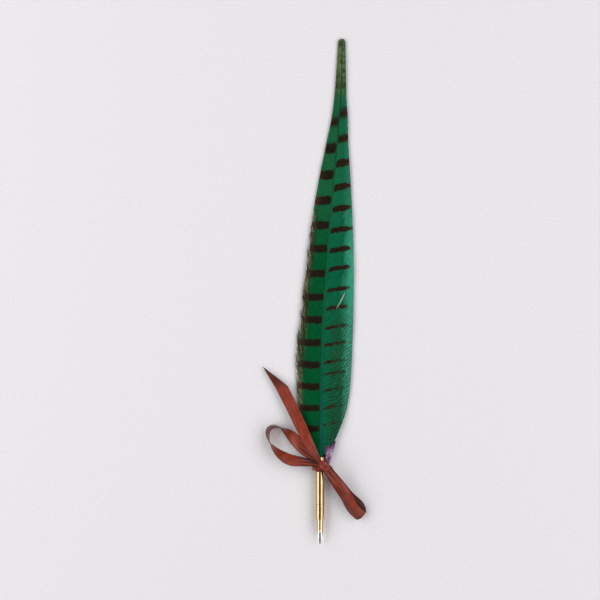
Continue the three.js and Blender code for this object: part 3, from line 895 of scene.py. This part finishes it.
def strands(name, paths, radii, material, bars=(NOWHERE,)):
    """Loose barbs: thin tapering three-sided strands along rows of points. Those that cross
    a bar are dark there."""
    points, faces, shares, crossed, count = [], [], [], [], 0
    for line, radius in zip(paths, radii):
        rows = len(line)
        along = tangents(line)
        side = np.cross(along, [0, 0, 1.0])
        side /= np.linalg.norm(side, axis=1, keepdims=True)
        up = np.cross(side, along)
        taper = radius * (1 - 0.75 * np.linspace(0, 1, rows)[:, None] ** 2)
        ring = [line + taper * (side * math.cos(a) + up * math.sin(a) * 0.6)
                for a in (0.5, 2.6, 4.7)]
        faces += tube_faces(rows, 3, count)
        points.append(np.stack(ring, 1).reshape(-1, 3))
        shares.append(np.repeat(np.linspace(0, 1, rows), 3))
        nearest = np.abs(line[:, 1:2] - np.array(bars)).min(-1)
        crossed.append(np.repeat(2.0 - nearest, 3))
        count += rows * 3
    values = {"share": np.concatenate(shares), "bar": np.concatenate(crossed)}
    item = piece(name, np.concatenate(points), faces, material, ROOT, values)
    return item


def left_vane():
    """Narrow, with thick even bars and a worn, ragged margin on its lower half."""
    vane = Vane(-1, left_width, 1.75, 1.6)
    loose = profile((20, 0.3), (34, 1), (120, 1), (155, 0.15), (200, 0.1))

    def looks(places, share):
        y = places[..., 1]
        return {
            "mottle": 0.1 + 0.1 * ease(0.5, 0.9, share) * loose(y),
            "rust": 0.06 + 0.7 * ease(0.6, 0.9, share) * ease(190, 130, y),
            "worn": ease(0.42, 0.95, share) * loose(y),
        }

    vane_sheet(
        vane, "left_vane", "vane_left",
        dyed_vane("dyed_vane_left", srgb(0, 82, 42), srgb(2, 90, 46), srgb(98, 102, 68),
                  srgb(30, 100, 62)),
        LEFT_BARS,
        half=profile((17, 1.9), (60, 2.1), (110, 2.3), (150, 2.6), (185, 3.1), (205, 3.2),
                     (222, 6.5)),
        rise=lambda out: -0.5 * np.sin(np.clip(out / 11, 0, 1) * math.pi),
        fade=lambda places, share: (0.8 * ease(0.07, 0.01, share) + 0.3 * ease(0.7, 0.95, share)
                                    + TIP_FADE * ease(209, 216, places[..., 1])),
        splits=[], reach=lambda end: 1 - loose(end), looks=looks,
    )
    margin_barbs(vane, loose)


def margin_barbs(vane, loose):
    """Barbs that stand loose along the left margin, every other one paler."""
    paths, radii = [], []
    for _ in range(MARGIN_BARBS):
        foot = random.uniform(8, 140)
        if random.random() > 0.15 + 0.85 * loose(foot):
            continue
        t = np.linspace(0, 1, 12)
        y = foot + t * random.uniform(5, 13)
        out = 0.68 + random.uniform(0.14, 0.34) * np.sin(t * math.pi * random.uniform(0.42, 0.6))
        line = vane.spot(y, out)
        line[:, 2] += 0.15 + random.uniform(-0.2, 0.4) * t
        paths.append(line)
        radii.append(random.uniform(0.08, 0.16))
    for shade, first, root, tip in (
        ("dark", 0, srgb(22, 58, 32), srgb(72, 64, 40)),
        ("pale", 1, srgb(48, 84, 46), srgb(158, 156, 120)),
    ):
        material = barb_strands(f"{shade}_loose_barbs", root, tip)
        strands(f"{shade}_margin_barbs", paths[first::2], radii[first::2], material,
                LEFT_BARS)


def right_vane():
    """Wide, paler on its flank, with thin bars that lose themselves in scrawl low down."""
    vane = Vane(1, right_width, 1.7, 1.7)

    def looks(places, share):
        y = places[..., 1]
        lower = ease(125, 70, y)  # the scrawled lower half
        return {
            "mottle": 0.12 + 0.37 * lower * ease(0.0, 0.3, share) + 0.05 * ease(60, 20, y),
            "rust": 0.1 + 0.25 * ease(0.5, 1.0, share) + 0.1 * lower,
            "worn": 0.3 * ease(0.8, 1.0, share),
        }

    vane_sheet(
        vane, "right_vane", "vane_right",
        dyed_vane("dyed_vane_right", srgb(7, 98, 66), srgb(66, 168, 136), srgb(96, 160, 134),
                  srgb(22, 106, 70)),
        RIGHT_BARS,
        half=profile((18, 0.6), (60, 0.85), (88, 1.1), (120, 1.55), (148, 1.95), (175, 2.4),
                     (205, 3.1), (222, 6.5)),
        rise=lambda out: 3.0 * (1 - np.exp(-out / 8)),
        fade=lambda places, share: (0.6 * ease(0.08, 0.02, share)
                                    + (1.2 * ease(0.72, 0.96, share)
                                       * ease(195, 160, places[..., 1]))
                                    + TIP_FADE * ease(209, 216, places[..., 1])),
        splits=[SPLIT], reach=lambda end: 1.0, looks=looks,
    )
    share = np.linspace(0.42, 0.76, 14)
    paths = [vane.at(SPLIT + offset + 0 * share, share, -0.1) for offset in (-0.5, 0.1, 0.55)]
    material = barb_strands("parted_barbs", srgb(120, 170, 140), srgb(206, 222, 208))
    strands("split_barbs", paths, [0.22, 0.26, 0.2], material)


def over_the_vane():
    """Paths and radii of the down that lies on the right vane's foot, beside the barrel."""
    paths, radii = [], []
    for _ in range(DOWN_OVER_VANE):
        foot = random.uniform(0, 1)
        x = 3.5 + 5.2 * foot
        y = 6.2 + 3.0 * foot + random.uniform(-1.2, 0.6)
        drop = random.uniform(4.0, 9.0)
        t = np.linspace(0, 1, 10)
        down = np.maximum(y - drop * t, -4.6)
        edge = 5.5 + 0.29 * (down + 4)  # the tuft narrows as it comes down
        across = 3.5 + (x - 3.5) / 5.2 * (edge - 3.5)
        across = across + 0.22 * np.sin(t * 9 + random.uniform(0, 6)) + random.normal(0, 0.25) * t
        across = np.clip(across, BARREL_CLEAR, 9.4)
        height = np.interp(down, [-4.6, 0, 3, 9], [1.5, 2.4, 3.3, 3.0])
        height = height - 0.22 * (across - 3.4) + random.uniform(0.0, 0.5)
        paths.append(np.stack([across, down, height], -1))
        radii.append(random.uniform(0.09, 0.17))
    return paths, radii


def tuft(side, name, node):
    """Soft barbs at the foot of the vane, drooping beside the barrel's rim."""
    paths, radii = [], []
    for _ in range(TUFT_BARBS):
        start = np.array([side * random.uniform(2.4, 9.2), random.uniform(2.0, 11.5), 0])
        start[0] = side * min(abs(start[0]), 3.4 + start[1] * 0.56)
        start[2] = random.uniform(1.0, 2.6)
        reach = random.uniform(3.0, 8.5)
        sway = random.normal(0, 0.8)
        t = np.linspace(0, 1, 9)[:, None]
        end = np.array([side * random.uniform(3.6, 5.6), start[1] - reach,
                        random.uniform(0.5, 2.0)])
        end[1] = max(end[1], RIGHT_TUFT_END if side > 0 else LEFT_TUFT_END)
        line = start + (end - start) * t
        line[:, :1] += side * (1.5 + sway) * np.sin(t * math.pi) * 0.7
        line[:, 0] += 0.15 * np.sin(t[:, 0] * 11 + random.uniform(0, 6))
        clear = np.where(line[:, 1] < 0.5, BARREL_CLEAR, 0)
        line[:, 0] = side * np.maximum(side * line[:, 0], clear)
        paths.append(line)
        radii.append(random.uniform(0.06, 0.13))
    material = barb_strands(f"purple_down_{name}", srgb(122, 66, 116), srgb(196, 148, 196))
    if side > 0:
        over, wide = over_the_vane()
        flecks = [line[-4:] for line in over[::14]]
        undyed = barb_strands("undyed_down", srgb(214, 200, 216), srgb(246, 240, 246))
        strands("down_flecks", flecks, [FLECK_RADIUS] * len(flecks), undyed)
        paths += over
        radii += wide
    item = strands(name, paths, radii, material)
    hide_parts(node)


rachis()
left_vane()
right_vane()
tuft(-1, "down_tuft_left", "down_left")
tuft(1, "down_tuft_right", "down_right")

# ---- Barrel, front section and nib ---------------------------------------------------------

BORE = 2.2
SOCKET = 2.15
SPIGOT = 2.1
SPIGOT_BORE = 1.5
SECTION_GAP = 0.1
SECTION_REAR = -BARREL_LENGTH - SECTION_GAP
SPIGOT_END = (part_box("front_section")[1][1] - RIM[1]) / MM
SOCKET_FLOOR = NIB_REAR + 0.2
EDGE = 0.14  # the rounding of the metal's outer edges


def rounded(corner, radius, start, steps=5):
    """Quarter-round (radius, y) points about corner from an angle in degrees."""
    angles = np.radians(start + np.linspace(0, 90, steps))
    return [(corner[0] + radius * math.cos(a), corner[1] + radius * math.sin(a)) for a in angles]


def barrel():
    """A tube with rounded ends."""
    outline = [(BORE, -BARREL_LENGTH)]
    outline += rounded((BARREL_RADIUS - EDGE, -BARREL_LENGTH + EDGE), EDGE, -90)
    outline += rounded((BARREL_RADIUS - EDGE, -EDGE), EDGE, 0)
    outline += [(BORE + 0.05, 0), (BORE, -0.05)]
    item = turned("barrel", outline, GOLD, ROOT)
    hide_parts("barrel_tube")


def front_section():
    """The collar that holds the nib, with its spigot behind it."""
    outline = [(SOCKET, SECTION_FRONT + 0.05), (SOCKET + 0.05, SECTION_FRONT)]
    outline += rounded((BARREL_RADIUS - EDGE, SECTION_FRONT + EDGE), EDGE, -90)
    outline += rounded((BARREL_RADIUS - EDGE, SECTION_REAR - EDGE), EDGE, 0)
    outline += [(SPIGOT, SECTION_REAR), (SPIGOT, SPIGOT_END - 0.2), (SPIGOT - 0.15, SPIGOT_END),
                (SPIGOT_BORE, SPIGOT_END), (SPIGOT_BORE, SOCKET_FLOOR), (SOCKET, SOCKET_FLOOR)]
    item = turned("nib_section", outline, GOLD, "front_section")
    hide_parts("front_section")


NIB_RADIUS = 2.05
NIB_THICKNESS = 0.22
SHANK_HALF = NIB_RADIUS * math.radians(98)
BREATHER_Y = SECTION_FRONT - 7.2
BREATHER_RADIUS = 0.55
SLIT_HALF = 0.04
SLIT_DARK_HALF = 0.62, 0.32  # where the darkening beside the slit ends and where it is full
nib_half_width = profile(
    (NIB_TIP, 0.2), (NIB_TIP + 1.2, 0.42), (NIB_TIP + 4.2, 1.15), (NIB_TIP + 7, 2.15),
    (NIB_TIP + 9, 3.05), (NIB_TIP + 11, SHANK_HALF), (SECTION_FRONT, SHANK_HALF))
nib_crown = profile(
    (NIB_TIP, 0.75), (NIB_TIP + 4.2, 1.25), (NIB_TIP + 9, 1.85), (SECTION_FRONT, NIB_RADIUS),
    (NIB_REAR, NIB_RADIUS))


def nib():
    """Two halves of sheet metal that meet behind the breather hole, with the slit between."""
    rows, columns = 150, 22
    y = NIB_TIP + (NIB_REAR - NIB_TIP) * np.linspace(0, 1, rows)[:, None] ** 1.2
    half = np.where(y > SECTION_FRONT, SHANK_HALF, nib_half_width(y))
    hole = np.sqrt(np.maximum(0, BREATHER_RADIUS**2 - (y - BREATHER_Y) ** 2))
    slit = np.where(y < BREATHER_Y, SLIT_HALF, 0.0)
    inner = np.maximum(hole, slit)
    sheets = Sheets()
    for side in (-1, 1):
        u = np.linspace(0, 1, columns)[None] ** 0.9
        arc = inner + (half - inner) * u
        angle = side * arc / NIB_RADIUS
        drop = NIB_RADIUS - nib_crown(y)
        layers = []
        for radius in (NIB_RADIUS, NIB_RADIUS - NIB_THICKNESS):
            layers.append(np.stack([radius * np.sin(angle), y + 0 * angle,
                                    AXIS_HEIGHT + radius * np.cos(angle) - drop], -1))
        bare = 1.35 - (y - NIB_TIP) / 10 - 0.3 * np.abs(arc) / half
        # darker metal beside the slit, in front of the breather hole
        inked = ease(*SLIT_DARK_HALF, arc) * ease(BREATHER_Y + 0.9, BREATHER_Y, y)
        sheets.add(*layers, bare=bare, inked=inked)
    item = sheets.make("nib_blade", nib_metal(), "nib")
    crisp(item, 50)
    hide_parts("nib")


barrel()
front_section()
nib()


def dress(node, material):
    """A finer material on a CAD node that keeps its own shape."""
    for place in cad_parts[node].material_slots:
        place.link = "OBJECT"
        place.material = material


dress("nib_plug", waxy("plug_moulding", srgb(36, 34, 32), srgb(48, 45, 42), 0.3))
dress("quill_glue", waxy("hot_glue", srgb(232, 220, 190), srgb(240, 232, 208), 0.3))
